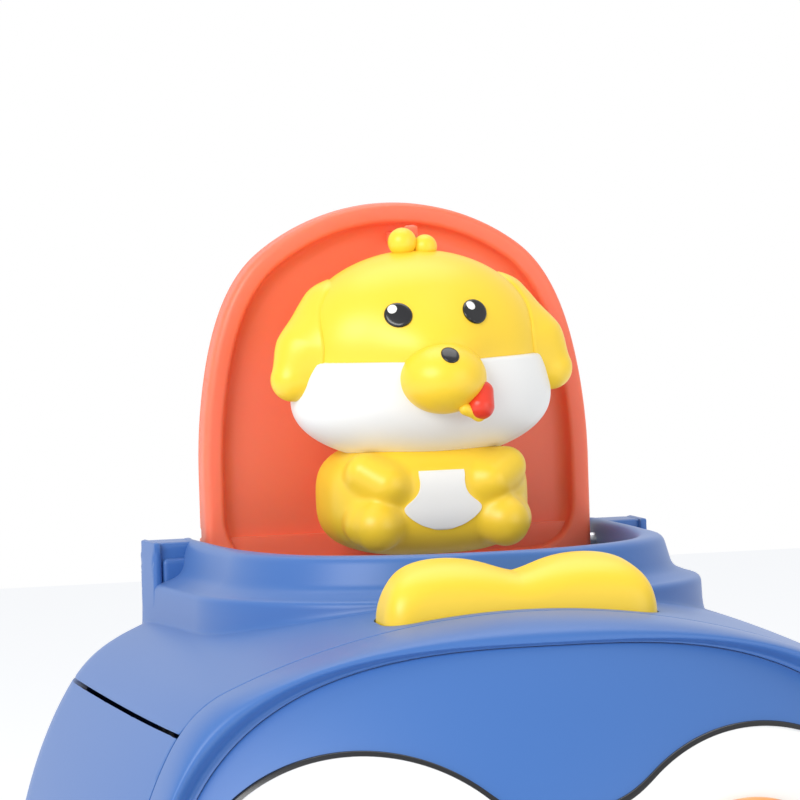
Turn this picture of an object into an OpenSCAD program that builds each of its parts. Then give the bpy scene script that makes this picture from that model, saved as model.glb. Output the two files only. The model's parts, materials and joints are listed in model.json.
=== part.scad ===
// Sensory ball with a pop-up puppy. Millimetres, +Z up, the bird's face looks along -Y.
// The origin is the middle of the flat underside.

/* [Ball] */
// Half width of the ball, side to side
half_w = 63.5; // [62.5:0.5:64.5]
// Height of the arched top above the ball's centre
top_h = 60.3; // [60:0.1:60.6]
// Depth of the domed underside below the ball's centre
half_h = 61.5; // [61:0.25:62]
// Distance from the centre to the back face
half_d = 57.5; // [57:0.5:58]
// Height of the ball's centre above the flat underside
mid_z = 58; // [57.5:0.25:58.25]
// Wall thickness of the blue shells
wall = 2.4; // [2.2:0.1:2.6]
// Height of the seam between the top and lower shells, at the ball's centre
seam_z = 103.2; // [102.6:0.2:103.8]
// Visible gap along the seam
seam_gap = 0.6; // [0.4:0.1:0.9]

/* [Collar and lid] */
// Height of the lip round the well
lip_z = 124; // [123.8:0.1:124.2]
// Height of the ledge outside the lip
ledge_z = 118.8; // [118.6:0.1:119]
// Half width of the lid
lid_half_w = 28.4; // [28.2:0.1:28.5]
// Length of the lid from its hinge to its tip
lid_len = 49.7; // [49.4:0.1:49.8]
// Width of the lid's rim
lid_rim = 2.5; // [2.2:0.1:2.8]
// Radius of the hinge pins
pin_r = 1.2; // [1.1:0.05:1.25]

/* [Button and latch] */
// Half width of the push button
button_half_w = 19.8; // [19.4:0.1:20]

/* [Face] */
// Radius of the domed face panel
face_r = 90; // [89.5:0.1:90.5]
// Radius of each lobe of the white mask
lobe_r = 26; // [25:0.1:26.5]
// Radius of the orange eye rings
eye_r = 17.5; // [16:0.1:18]

/* [Hidden] */
$fn = 96;
eps = 0.01;

blue = [0.16, 0.36, 0.68];
coral = [0.98, 0.42, 0.33];
yellow = [0.99, 0.82, 0.16];
white = [0.96, 0.96, 0.95];
black = [0.05, 0.05, 0.06];
orange = [0.98, 0.62, 0.22];
red = [0.86, 0.12, 0.14];
steel = [0.72, 0.73, 0.75];
grey = [0.80, 0.81, 0.83];

// The ball form: a barrel round the Y axis, trimmed by flatter forms above, below, at the sides
// and behind.
roof_r = 100;
top_r = 150;
side_r = 250;
core_r = 68.5;
front_y = -54;
core_front_r = 68;
back_round = 26;
back_start = 33;
seam_tilt = 2;
shell_front_y = -35.1;
bezel_back_y = -35.4;
bezel_r = 200;
bezel_apex_y = -57.7;

// The hinge axis, and the middle of the arch that the lid, lip and collar share.
hinge_y = 37;
hinge_z = lip_z - 3;
arch_x = 4.7;
arch_h = lid_len - (lid_half_w - arch_x);
arch_y = hinge_y - arch_h;
lid_front_y = 35;
lid_back_y = 40;
well_r = lid_half_w - arch_x + 0.9;
lip_r = well_r + 3.2;
collar_r = lip_r + 4;
post_front_y = 34.5;
post_back_y = 42;
well_floor_z = 82.5;
box_top_z = 110.6;

face_y = -67.5 + face_r;
eye_x = 25.5;
eye_z = 14.8;
cover_y = 3;
cover_z = 56;
cover_r = 28.5;
button_y0 = -33;
button_y1 = -22;
shelf_z = 99;
latch_z = 111.4;

boss_xy = [[-43.4, -26], [43.4, -26], [-36, 32.5], [36, 32.5]];
front_lug_xy = [[-35.4, -6], [35.4, -6]];
rear_lug_xy = [[-34.4, 24], [34.4, 24]];
lug_xy = concat(front_lug_xy, rear_lug_xy);
base_screw_xy = [[-22, -22], [22, -22], [-22, 22], [22, 22]];
figure_screw_z = [130, 150];

// A flat arch outline: two round corners, a short straight between them and straight sides.
module arch2d(r, cy, back) {
    translate([-arch_x, cy]) circle(r = r);
    translate([arch_x, cy]) circle(r = r);
    translate([-arch_x, cy - r]) square([2 * arch_x, r]);
    translate([-(arch_x + r), cy]) square([2 * (arch_x + r), back - cy]);
}

module round_rect2d(w, d, r) {
    square([w - 2 * r, d], center = true);
    square([w, d - 2 * r], center = true);
    for (sx = [-1, 1], sy = [-1, 1])
        translate([sx * (w / 2 - r), sy * (d / 2 - r)]) circle(r = r);
}

// Turns an outline in the XZ plane round the ball's centre into a solid, y0 in front of y1.
module along_y(y0, y1) {
    translate([0, y1, mid_z]) rotate([90, 0, 0]) linear_extrude(height = y1 - y0) children();
}

// Turns an outline in the YZ plane into a solid of the given width across X.
module yz_plate(w) {
    rotate([90, 0, 90]) linear_extrude(height = w, center = true) children();
}

module box(x0, x1, y0, y1, z0, z1) {
    translate([x0, y0, z0]) cube([x1 - x0, y1 - y0, z1 - z0]);
}

// The ball's core, turned about the Y axis: a slight cone in front, a round edge behind.
module core(inset) {
    back_y = back_start + back_round - inset;
    rotate([0, 33, 0]) rotate([-90, 0, 0]) rotate_extrude() {
        polygon([[0, front_y - 5], [core_front_r - inset, front_y - 5], [core_r - inset, 0],
            [core_r - inset, back_start], [core_r - back_round, back_y], [0, back_y]]);
        intersection() {
            translate([core_r - back_round, back_start]) circle(r = back_round - inset);
            translate([core_r - back_round - 1, back_start]) square([60, 60]);
        }
    }
}

// The shallow dome below, turned about the Z axis.
module lens(inset) {
    rotate([0, 0, 57]) rotate_extrude() intersection() {
        translate([0, top_r - half_h]) circle(r = top_r - inset);
        translate([0, -100]) square([200, 180]);
    }
}

// The arched top, seen from the front.
module roof(inset) {
    translate([0, 100, 0]) rotate([90, 0, 0]) linear_extrude(height = 200) intersection() {
        translate([0, top_h - roof_r]) circle(r = roof_r - inset, $fn = 192);
        translate([-90, -80]) square([180, 160]);
    }
}

// The sides and the back, seen from above.
module plan(inset) {
    translate([0, 0, -80]) linear_extrude(height = 160) intersection() {
        translate([half_w - side_r, 0]) circle(r = side_r - inset, $fn = 192);
        translate([side_r - half_w, 0]) circle(r = side_r - inset, $fn = 192);
        translate([0, half_d - top_r]) circle(r = top_r - inset, $fn = 192);
        translate([-100, front_y + inset]) square([200, 200]);
    }
}

// The rounded ball form, drawn in by the given distance.
module ball_form(inset = 0) {
    translate([0, 0, mid_z]) intersection() {
        core(inset);
        lens(inset);
        roof(inset);
        plan(inset);
    }
}

// Everything above or below the seam, which falls a little towards the front.
module above_seam(dz) {
    translate([0, 0, seam_z + dz]) rotate([seam_tilt, 0, 0])
        translate([-90, -90, 0]) cube([180, 180, 60]);
}

module below_seam(dz) {
    translate([0, 0, seam_z + dz]) rotate([seam_tilt, 0, 0])
        translate([-90, -90, -140]) cube([180, 180, 140]);
}

// Outline of the ball's front end, round the ball's centre.
module front2d(core, top, side) {
    intersection() {
        circle(r = core);
        translate([0, top - top_r]) circle(r = top_r);
        translate([0, top_r - top]) circle(r = top_r);
        translate([side - side_r, 0]) circle(r = side_r);
        translate([side_r - side, 0]) circle(r = side_r);
    }
}

// Domes that the face parts are cut from, and the flatter one for the frame round them.
module dome(r) {
    translate([0, face_y, mid_z]) sphere(r = r);
}

module bezel_dome(inset) {
    translate([0, bezel_apex_y + bezel_r, mid_z]) sphere(r = bezel_r - inset);
}

module screw(h, r, head_r, head_h) {
    cylinder(h = h, r = r);
    difference() {
        cylinder(h = head_h, r = head_r);
        translate([0, 0, -eps]) linear_extrude(height = head_h * 0.6) {
            square([head_r * 1.3, 0.8], center = true);
            square([0.8, head_r * 1.3], center = true);
        }
    }
}

module slot2d(grow) {
    translate([0, (button_y0 + button_y1) / 2])
        round_rect2d(2 * (button_half_w + grow), button_y1 - button_y0 + 2 * grow, 4 + grow);
}

// Inside outline of the well box, grown by g for its outside.
module well2d(g) {
    intersection() {
        arch2d(well_r + g, arch_y, 38.4 + g);
        union() {
            translate([-50, -60]) square([100, 90]);
            translate([0, 19]) round_rect2d(2 * (well_r + arch_x + g), 38.8 + 2 * g, 7 + g);
        }
    }
}

module mask2d(g) {
    for (s = [-1, 1]) {
        translate([s * 28.6, 16.8]) circle(r = lobe_r + g);
        translate([s * 20, -8]) circle(r = 20 + g);
    }
    translate([-12 - g, -20]) square([24 + 2 * g, 50.5 + g]);
    translate([0, -8]) circle(r = 33 + g);
}

module side_disc(s, x0, x1, r) {
    translate([s > 0 ? x0 : -x1, cover_y, cover_z]) rotate([0, 90, 0])
        cylinder(h = x1 - x0, r = r);
}

module rear_disc(y0, y1, r) {
    translate([0, y1, cover_z]) rotate([90, 0, 0]) cylinder(h = y1 - y0, r = r);
}

// Lid outline, X across and h up from the hinge axis: straight, then two slow arcs and a top arc.
module lid2d(inset, low) {
    w = lid_half_w - inset;
    intersection() {
        union() {
            translate([0, lid_len - 30]) circle(r = 30 - inset, $fn = 192);
            translate([-w, low]) square([2 * w, lid_len - 30 - low]);
        }
        union() {
            translate([lid_half_w - 80, 12]) circle(r = 80 - inset, $fn = 192);
            translate([-w, low]) square([2 * w, 12 - low]);
        }
        union() {
            translate([80 - lid_half_w, 12]) circle(r = 80 - inset, $fn = 192);
            translate([-w, low]) square([2 * w, 12 - low]);
        }
        translate([-w, low]) square([2 * w, 60]);
    }
}

module recess2d() {
    lid2d(lid_rim, 4.4);
    translate([-20.9, -0.6]) square([41.8, 5.1]);
    for (s = [-1, 1]) translate([s * 20.9, 4.4]) circle(r = 5);
}

module lid_slab(y0, y1) {
    translate([0, y1, hinge_z]) rotate([90, 0, 0]) linear_extrude(height = y1 - y0) children();
}

// Puppy forms, grown by g.
module head_form(g) {
    hull() for (s = [-1, 1]) {
        translate([s * 3.8, 23, 152.8]) sphere(r = 12.2 + g, $fn = 32);
        translate([s * 7, 23, 147.5]) sphere(r = 11.3 + g, $fn = 32);
    }
}

module muzzle_form(g) {
    hull() for (s = [-1, 1]) {
        translate([s * 12.6, 21, 142.9]) sphere(r = 6.7 + g, $fn = 32);
        translate([s * 5.5, 16, 142.6]) sphere(r = 7 + g, $fn = 32);
    }
}

module trunk_form(g) {
    hull() {
        for (s = [-1, 1]) {
            translate([s * 9.6, 17, 128.2]) sphere(r = 5.6 + g, $fn = 32);
            translate([s * 8.2, 17.5, 132]) sphere(r = 5.6 + g, $fn = 32);
            translate([s * 9, 31.6, 128.4]) sphere(r = 5.4 + g, $fn = 32);
            translate([s * 7, 31, 134]) sphere(r = 4.5 + g, $fn = 32);
        }
        translate([0, 19.6, 130]) sphere(r = 9.2 + g, $fn = 32);
    }
}

module top_shell() {
    color(blue) difference() {
        union() {
            intersection() {
                difference() {
                    ball_form(0);
                    ball_form(wall);
                }
                above_seam(seam_gap / 2);
                box(-90, 90, shell_front_y, 90, 60, 140);
            }
            // Ledge floor and the wall that carries it
            translate([0, 0, ledge_z - wall]) linear_extrude(height = wall)
                arch2d(collar_r, arch_y, post_back_y);
            translate([0, 0, ledge_z - 8]) linear_extrude(height = 8) difference() {
                arch2d(collar_r, arch_y, post_back_y);
                arch2d(collar_r - 3, arch_y, post_back_y - 1.6);
            }
            intersection() {
                translate([0, 0, 90]) linear_extrude(height = ledge_z - 90) difference() {
                    arch2d(collar_r, arch_y, post_back_y);
                    arch2d(collar_r - 3, arch_y, post_back_y - 1.6);
                }
                above_seam(seam_gap / 2);
                box(-60, 60, 5, 60, 90, 140);
            }
            // Lip round the well
            translate([0, 0, box_top_z + 0.2]) linear_extrude(height = lip_z - box_top_z - 0.2)
                arch2d(lip_r, arch_y, post_front_y);
            // Hinge posts
            for (s = [-1, 1]) translate([s * 32.9, 0, 0])
                box(-3.5, 3.5, post_front_y, post_back_y, box_top_z + 0.2, lip_z);
            // Low wall between the posts, the stop behind the open lid
            box(-36.4, 36.4, 40.4, post_back_y, box_top_z + 0.2, lip_z - 2);
            // Guide round the button
            intersection() {
                translate([0, 0, 108.3]) linear_extrude(height = 20) slot2d(1.5);
                ball_form(0.5);
            }
            // Bosses for the shell screws and the front lugs of the well box
            intersection() {
                union() {
                    for (p = boss_xy) translate([p[0], p[1], 98]) cylinder(h = 30, r = 3.6);
                    for (p = front_lug_xy) translate([p[0], p[1], 108]) cylinder(h = 20, r = 2.6);
                }
                ball_form(1);
            }
            for (p = rear_lug_xy) translate([p[0], p[1], 108]) cylinder(h = 9.5, r = 2.6);
        }
        // Well, as wide as the lid at the lip
        translate([0, hinge_y, 90]) linear_extrude(height = 50) mirror([0, 1]) lid2d(-0.9, -3.4);
        // Room for the well box and its rear lugs
        translate([0, 0, 90]) linear_extrude(height = box_top_z - 89.9) well2d(2);
        for (p = rear_lug_xy) {
            translate([p[0], p[1], 90]) cylinder(h = 18, r = 3.3);
            box(min(p[0], p[0] * 0.9), max(p[0], p[0] * 0.9), p[1] - 3.3, p[1] + 3.3, 90, 108);
        }
        // Slot for the button
        translate([0, 0, 90]) linear_extrude(height = 50) slot2d(0.35);
        // Holes for the hinge pins and pockets for the springs round them
        for (s = [-1, 1]) translate([s * 32.5, hinge_y, hinge_z]) rotate([0, 90, 0]) {
            cylinder(h = 6.2, r = pin_r + 0.04, center = true);
            translate([0, 0, s * 0.25]) cylinder(h = 4.3, r = 1.9, center = true);
        }
        // Pilot holes
        for (p = boss_xy) translate([p[0], p[1], 97]) cylinder(h = 9, r = 1.2);
        for (p = lug_xy) translate([p[0], p[1], 107]) cylinder(h = 4, r = 1);
        // Window for the latch nose
        box(-4.6, 4.6, -21, -9, latch_z - 1.4, latch_z + 2.4);
    }
}

module lower_shell() {
    color(blue) difference() {
        union() {
            intersection() {
                difference() {
                    ball_form(0.3);
                    ball_form(wall + 0.3);
                }
                below_seam(-seam_gap / 2);
                box(-90, 90, shell_front_y, 90, 1, 140);
            }
            intersection() {
                union() {
                    // Seat ring round the base plate
                    translate([0, 0, 3.4]) cylinder(h = 2.6, r = 60);
                    // Posts for the shell screws
                    for (p = boss_xy) translate([p[0], p[1], 4]) cylinder(h = 93.8, r = 4);
                }
                ball_form(1);
                box(-90, 90, -31.1, 90, 1, 140);
            }
            // Seats behind the side covers and the rear cover
            intersection() {
                union() {
                    for (s = [-1, 1]) side_disc(s, 56.9, 70, cover_r + 2.8);
                    rear_disc(49.3, 70, cover_r + 2.8);
                }
                ball_form(0.35);
                box(-90, 90, -31.1, 90, 1, 140);
            }
        }
        // Round recesses for the covers
        for (s = [-1, 1]) side_disc(s, 59.5, 70, cover_r + 0.3);
        rear_disc(51.9, 70, cover_r + 0.3);
        // Opening for the base plate
        translate([0, 0, -1]) cylinder(h = 4.4, r = 34.2);
        translate([0, 0, -1]) cylinder(h = 12, r = 28);
        // Screw holes
        for (p = base_screw_xy) translate([p[0], p[1], 0]) cylinder(h = 9, r = 1.2);
        for (p = boss_xy) translate([p[0], p[1], -1]) {
            cylinder(h = 120, r = 1.5);
            cylinder(h = 80, r = 3);
        }
    }
}

module front_bezel() {
    color(blue) difference() {
        union() {
            // Rounded frame
            difference() {
                intersection() {
                    ball_form(0);
                    bezel_dome(0);
                    box(-90, 90, -90, bezel_back_y, -10, 130);
                }
                intersection() {
                    ball_form(wall);
                    bezel_dome(wall);
                }
            }
            // Wall of the opening
            intersection() {
                along_y(-60, -38) front2d(64, 55, 59);
                ball_form(0.2);
                bezel_dome(0.2);
            }
            // Seat behind the face panel
            intersection() {
                along_y(-62, -36) front2d(72, 60, 64);
                ball_form(0.5);
                difference() {
                    dome(face_r - 2.5);
                    dome(face_r - 4.5);
                }
            }
            // Tongue that slides inside the shells
            difference() {
                intersection() {
                    ball_form(0.6);
                    box(-90, 90, -38.5, bezel_back_y, -10, 130);
                }
                ball_form(wall + 1.9);
            }
            difference() {
                intersection() {
                    ball_form(wall + 0.5);
                    box(-90, 90, -38.5, -31.5, -10, 130);
                }
                ball_form(wall + 1.9);
                box(-25, 25, -35.4, -30, 100, 130);
                translate([0, 0, -1]) cylinder(h = 8, r = 36);
            }
        }
        // Opening for the face panel
        difference() {
            along_y(-80, -30) front2d(62, 53, 57);
            intersection() {
                along_y(-62, -36) difference() {
                    front2d(63, 54, 58);
                    front2d(58.5, 49.5, 53.5);
                }
                difference() {
                    dome(face_r - 2.5);
                    dome(face_r - 4.5);
                }
            }
        }
        // Flat underside
        box(-90, 90, -90, 0, -10, 1);
    }
}

module face_panel() {
    color(blue) difference() {
        intersection() {
            along_y(-72, -30) front2d(61.7, 52.7, 56.7);
            dome(face_r);
        }
        dome(face_r - 2.4);
    }
}

module face_mask() {
    color(white) difference() {
        intersection() {
            along_y(-72, -30) mask2d(0);
            dome(face_r + 0.8);
        }
        dome(face_r + 0.05);
    }
}

module mask_outline() {
    color(black) difference() {
        intersection() {
            along_y(-72, -30) difference() {
                mask2d(0.9);
                mask2d(0.03);
            }
            dome(face_r + 0.5);
        }
        dome(face_r + 0.05);
    }
}

module eye_plate(s, r, r_out, r_in) {
    difference() {
        intersection() {
            along_y(-78, -40) translate([s * eye_x, eye_z]) circle(r = r);
            dome(r_out);
        }
        dome(r_in);
    }
}

module eye_ring_left() {
    color(orange) eye_plate(1, eye_r, face_r + 2.3, face_r + 0.85);
}

module eye_ring_right() {
    color(orange) eye_plate(-1, eye_r, face_r + 2.3, face_r + 0.85);
}

module pupil_left() {
    color(black) eye_plate(1, 9.5, face_r + 3.2, face_r + 2.35);
}

module pupil_right() {
    color(black) eye_plate(-1, 9.5, face_r + 3.2, face_r + 2.35);
}

module beak() {
    color(orange) difference() {
        intersection() {
            along_y(-78, -40) translate([0, -3]) circle(r = 8);
            dome(face_r + 5);
        }
        dome(face_r + 0.85);
    }
}

module side_cover_left() {
    color(yellow) intersection() {
        side_disc(1, 59.6, 70, cover_r);
        ball_form(-0.6);
    }
}

module side_cover_right() {
    color(yellow) intersection() {
        side_disc(-1, 59.6, 70, cover_r);
        ball_form(-0.6);
    }
}

module rear_cover() {
    color(yellow) intersection() {
        rear_disc(52, 70, cover_r);
        ball_form(-0.6);
    }
}

module base_plate() {
    color(blue) difference() {
        translate([0, 0, 1]) cylinder(h = 2.3, r = 34);
        cylinder(h = 1.45, r = 27.1);
        for (p = base_screw_xy) translate([p[0], p[1], 0]) {
            cylinder(h = 5, r = 1.5);
            cylinder(h = 2.25, r = 2.5);
        }
    }
}

module base_screws() {
    color(steel) for (p = base_screw_xy) translate([p[0], p[1], 1]) screw(4.8, 1.15, 2.4, 1.2);
}

module foot_pad() {
    color(black) cylinder(h = 1.4, r = 27);
}

module shell_screws() {
    color(steel) for (p = boss_xy) translate([p[0], p[1], 77.2]) screw(27, 1.15, 2.6, 1.7);
}

module well_box() {
    color(white) {
        difference() {
            union() {
                translate([0, 0, well_floor_z - 2]) linear_extrude(height = box_top_z - well_floor_z + 2)
                    well2d(1.8);
                // Lugs under the top shell
                for (p = lug_xy) {
                    translate([p[0], p[1], 105.8]) cylinder(h = 2, r = 3);
                    box(min(p[0], p[0] * 0.65), max(p[0], p[0] * 0.65), p[1] - 3, p[1] + 3, 105.8, 107.8);
                }
            }
            translate([0, 0, well_floor_z]) linear_extrude(height = 50) well2d(0);
            for (p = lug_xy) translate([p[0], p[1], 100]) cylinder(h = 10, r = 1.3);
        }
        difference() {
            union() {
                // Shelf for the button springs and the latch, with gussets below it
                box(-22, 22, -37, -14.6, shelf_z - 2, shelf_z);
                for (s = [-1, 1]) translate([s * 18, 0, 0]) yz_plate(2)
                    polygon([[-34, 97.5], [-13, 97.5], [-13, 84], [-15, 84]]);
                // Rails that the latch slides between
                for (s = [-1, 1]) translate([s * 7.1, 0, 0])
                    box(-0.5, 0.5, -31.5, -19, shelf_z - 0.5, shelf_z + 2.5);
            }
            translate([0, 0, 80]) linear_extrude(height = 40) well2d(1);
        }
    }
}

module well_screws() {
    color(steel) for (p = lug_xy) translate([p[0], p[1], 104.6]) screw(6.2, 0.95, 2.2, 1.15);
}

module hinge_pins() {
    color(steel) for (s = [-1, 1]) translate([s * 30.45, hinge_y, hinge_z]) rotate([0, 90, 0])
        cylinder(h = 10.1, r = pin_r, center = true);
}

module lid_springs() {
    color(steel) for (s = [-1, 1]) translate([s * 32.75, hinge_y, hinge_z]) rotate([0, 90, 0])
        difference() {
            cylinder(h = 3.9, r = 1.8, center = true);
            cylinder(h = 5, r = 1.35, center = true);
        }
}

module lid_tray() {
    color(coral) {
        difference() {
            union() {
                lid_slab(lid_front_y, 38.8) lid2d(0, 0);
                box(-lid_half_w, lid_half_w, 36, lid_back_y - 0.1, hinge_z, hinge_z + 3.2);
                // Rounded lower end round the hinge pins
                intersection() {
                    translate([0, hinge_y, hinge_z]) rotate([0, 90, 0])
                        cylinder(h = 2 * lid_half_w, r = 3, center = true);
                    box(-40, 40, lid_front_y, 50, 110, 130);
                }
            }
            lid_slab(30, 37.2) recess2d();
            for (s = [-1, 1]) translate([s * 30, hinge_y, hinge_z]) rotate([0, 90, 0])
                cylinder(h = 9.4, r = pin_r + 0.05, center = true);
            for (z = figure_screw_z) translate([0, 50, z]) rotate([90, 0, 0]) {
                cylinder(h = 20, r = 1.1);
                cylinder(h = 12, r = 2.4);
            }
        }
        // Catch with its barb
        box(-0.2, 1.4, 25, 37.4, 165.1, 166.6);
        box(-0.2, 1.4, 25, 27, 166.5, 168);
    }
}

module lid_cover() {
    color(coral) lid_slab(38.9, lid_back_y) difference() {
        lid2d(0.25, 3.4);
        translate([-40, 0]) square([80, 3.4]);
    }
}

module figure_screws() {
    color(steel) for (z = figure_screw_z) translate([0, 38.8, z]) rotate([90, 0, 0])
        screw(11.8, 0.95, 2.3, 0.75);
}

module puppy_body() {
    color(yellow) difference() {
        union() {
            trunk_form(0);
            for (s = [-1, 1]) {
                translate([s * 7.9, 12.6, 132.6]) sphere(r = 3, $fn = 32);
                translate([s * 11.4, 14.2, 133.8]) sphere(r = 3.2, $fn = 32);
                translate([s * 10, 11.4, 126.4]) sphere(r = 3.5, $fn = 32);
            }
        }
        muzzle_form(0.05);
        head_form(0.05);
        translate([0, 40, 130]) rotate([90, 0, 0]) cylinder(h = 13.6, r = 1);
    }
}

module puppy_head() {
    color(yellow) difference() {
        union() {
            head_form(0);
            // Tuft
            translate([-1.7, 22.3, 165.8]) sphere(r = 2, $fn = 32);
            translate([1.55, 22.3, 165]) sphere(r = 1.7, $fn = 32);
            translate([0, 37.1, 150]) rotate([90, 0, 0]) cylinder(h = 8, r = 4, $fn = 48);
        }
        translate([0, 40, 150]) rotate([90, 0, 0]) cylinder(h = 13.6, r = 1);
    }
}

module puppy_ears() {
    color(yellow) difference() {
        for (s = [-1, 1]) hull() {
            translate([s * 15, 23, 156.8]) sphere(r = 2.4, $fn = 32);
            translate([s * 18.3, 22.6, 150.5]) sphere(r = 3.7, $fn = 32);
            translate([s * 18.6, 22, 146.3]) sphere(r = 3.1, $fn = 32);
        }
        head_form(0.03);
        muzzle_form(0.03);
    }
}

module puppy_muzzle() {
    color(white) difference() {
        muzzle_form(0);
        head_form(0.03);
    }
}

module puppy_snout() {
    color(yellow) difference() {
        translate([0, 8.3, 146.8]) rotate([25, 35, 15]) sphere(r = 6.1, $fn = 48);
        head_form(0.03);
        muzzle_form(0.03);
    }
}

module puppy_nose() {
    color(black) difference() {
        translate([0, 4.3, 150.3]) sphere(r = 1.6, $fn = 32);
        translate([0, 8.3, 146.8]) sphere(r = 6.13, $fn = 48);
    }
}

module puppy_tongue() {
    color(red) difference() {
        translate([4.6, 7.6, 143.9]) sphere(r = 2.1, $fn = 32);
        translate([0, 8.3, 146.8]) sphere(r = 6.13, $fn = 48);
        muzzle_form(0.03);
        head_form(0.03);
    }
}

module puppy_eyes() {
    color(black) difference() {
        for (s = [-1, 1]) translate([s * 5.6, 12.2, 156.3]) sphere(r = 2.2, $fn = 32);
        head_form(0.03);
    }
}

module puppy_belly_patch() {
    color(white) difference() {
        intersection() {
            translate([0, 16, 129.4]) rotate([90, 0, 0]) linear_extrude(height = 10) intersection() {
                circle(r = 5.6);
                translate([-10, -4]) square([20, 8.6]);
            }
            trunk_form(0.5);
        }
        trunk_form(0.03);
    }
}

// The button's outline across X: two humps with a saddle between them, drawn in by t.
module button2d(t) {
    for (s = [-1, 1]) translate([s * 10, 115.5]) circle(r = 9.8 - t);
    translate([-button_half_w + t, 104]) square([2 * (button_half_w - t), 11.5]);
    translate([-10, 104]) square([20, 18.8 - t]);
}

module button_solid(t) {
    intersection() {
        translate([0, button_y1 - t, 0]) rotate([90, 0, 0])
            linear_extrude(height = button_y1 - button_y0 - 2 * t) button2d(t);
        translate([0, -21.5, 109.3]) rotate([0, 90, 0])
            cylinder(h = 60, r = 16 - t, center = true);
    }
}

module button() {
    color(yellow) {
        difference() {
            union() {
                intersection() {
                    button_solid(0);
                    translate([0, 0, 106]) linear_extrude(height = 30) slot2d(0);
                }
                translate([0, 0, 106]) linear_extrude(height = 2) slot2d(1.3);
            }
            button_solid(1.8);
            box(-5, 5, -24, -20, 100, 111);
        }
        // Wedge that moves the latch
        yz_plate(5) polygon([[-26.34, 104.4], [-23.34, 104.4], [-26.7, 110],
            [-26.7, 121.4], [-29.7, 121.4], [-29.7, 110]]);
    }
}

module button_springs() {
    color(steel) for (s = [-1, 1]) translate([s * 11, -27.5, shelf_z]) difference() {
        cylinder(h = 21, r = 3);
        translate([0, 0, -1]) cylinder(h = 23, r = 2.3);
    }
}

module latch() {
    color(grey) {
        box(-6, 6, -31.5, -17.1, shelf_z + 0.2, shelf_z + 2);
        box(-4, 4, -18.4, -17.1, shelf_z + 1, latch_z + 1.5);
        box(-3.5, 3.5, -18.4, -9.4, latch_z, latch_z + 1.5);
        // Ramps in front of and behind the button's wedge
        yz_plate(7) polygon([[-24.6, 101], [-27.6, 106], [-29.2, 106], [-29.2, 102.7],
            [-31.5, 102.7], [-31.5, 100.5], [-24.6, 100.5]]);
        yz_plate(7) polygon([[-21, 101], [-24, 106], [-22, 106], [-19.2, 101],
            [-19.2, 100.5], [-21, 100.5]]);
    }
}

top_shell();
lower_shell();
front_bezel();
face_panel();
face_mask();
mask_outline();
eye_ring_left();
eye_ring_right();
pupil_left();
pupil_right();
beak();
side_cover_left();
side_cover_right();
rear_cover();
base_plate();
base_screws();
foot_pad();
shell_screws();
well_box();
well_screws();
hinge_pins();
lid_springs();
lid_tray();
lid_cover();
figure_screws();
puppy_body();
puppy_head();
puppy_ears();
puppy_muzzle();
puppy_snout();
puppy_nose();
puppy_tongue();
puppy_eyes();
puppy_belly_patch();
button();
button_springs();
latch();
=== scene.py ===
import json
import math

import bmesh
import bpy
import numpy as np
from mathutils import Matrix, Vector


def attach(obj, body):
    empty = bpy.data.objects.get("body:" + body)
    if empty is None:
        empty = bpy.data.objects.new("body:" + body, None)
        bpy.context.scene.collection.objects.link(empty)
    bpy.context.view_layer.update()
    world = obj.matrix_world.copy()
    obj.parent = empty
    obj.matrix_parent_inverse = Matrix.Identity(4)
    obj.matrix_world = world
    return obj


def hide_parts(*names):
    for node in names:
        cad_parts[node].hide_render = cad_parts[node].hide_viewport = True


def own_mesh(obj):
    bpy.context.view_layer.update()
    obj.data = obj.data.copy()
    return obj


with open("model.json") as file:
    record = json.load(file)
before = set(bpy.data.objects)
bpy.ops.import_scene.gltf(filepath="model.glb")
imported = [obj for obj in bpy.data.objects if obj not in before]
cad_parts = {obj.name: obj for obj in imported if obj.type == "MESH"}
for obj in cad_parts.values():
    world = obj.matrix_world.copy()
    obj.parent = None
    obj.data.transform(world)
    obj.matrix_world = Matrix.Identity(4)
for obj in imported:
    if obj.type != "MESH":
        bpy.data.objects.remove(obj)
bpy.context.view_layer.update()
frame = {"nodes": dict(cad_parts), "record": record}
MM = 0.001

# The ball, measured from its centre: the arched roof, the barrel round the Y axis, the sides,
# the back and the underside.
MID_Z = 58.0
ROOF_TOP, ROOF_R, ROOF_Y, ROOF_FALL = 61.0, 113.8, 20.0, 0.00067
BARREL_R = 68.7
SIDE_X, SIDE_ARCH_Y, SIDE_ARCH_Z = 63.8, 300.0, 171.5
BACK_Y, BACK_ARCH_X, BACK_ARCH_Z = 56.0, 100.5, 1428.5
UNDER_Z, UNDER_R = 61.5, 150.0
ROOF_EDGE, SIDE_EDGE, BACK_EDGE, UNDER_EDGE = 2.1, 10, 12.4, 12
BALL_REACH = 90
REST_Z = 1.0
WALL = 2.4
SEAM_Z = 45.6
SEAM_SLOPE = math.tan(math.radians(2.7))
SEAM_GAP = 0.4
FRONT_Y = -35.1
BEZEL_Y = -35.5

# Collar, lip and well, as offsets from the well's arch-shaped edge. The hinge side, at the rear,
# is lower and narrower. TUCK and SKIRT say where the shell's inner skin starts and ends.
LIP_Z = 124.0
LEDGE_Z = 118.9
ARCH_X = 4.7
ARCH_Y = 11.0
WELL_R = 24.6
WELL_BACK = 40.4
WELL_CORNER = 0.8
WELL_X = ARCH_X + WELL_R
LIP_W, LIP_FLAT = 3.2, 1.9
COLLAR_W = 7.2
REAR_W, REAR_DROP = 1.6, 2
TUCK, SKIRT = 3.5, 2.6
BOX_TOP = 110.7

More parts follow.
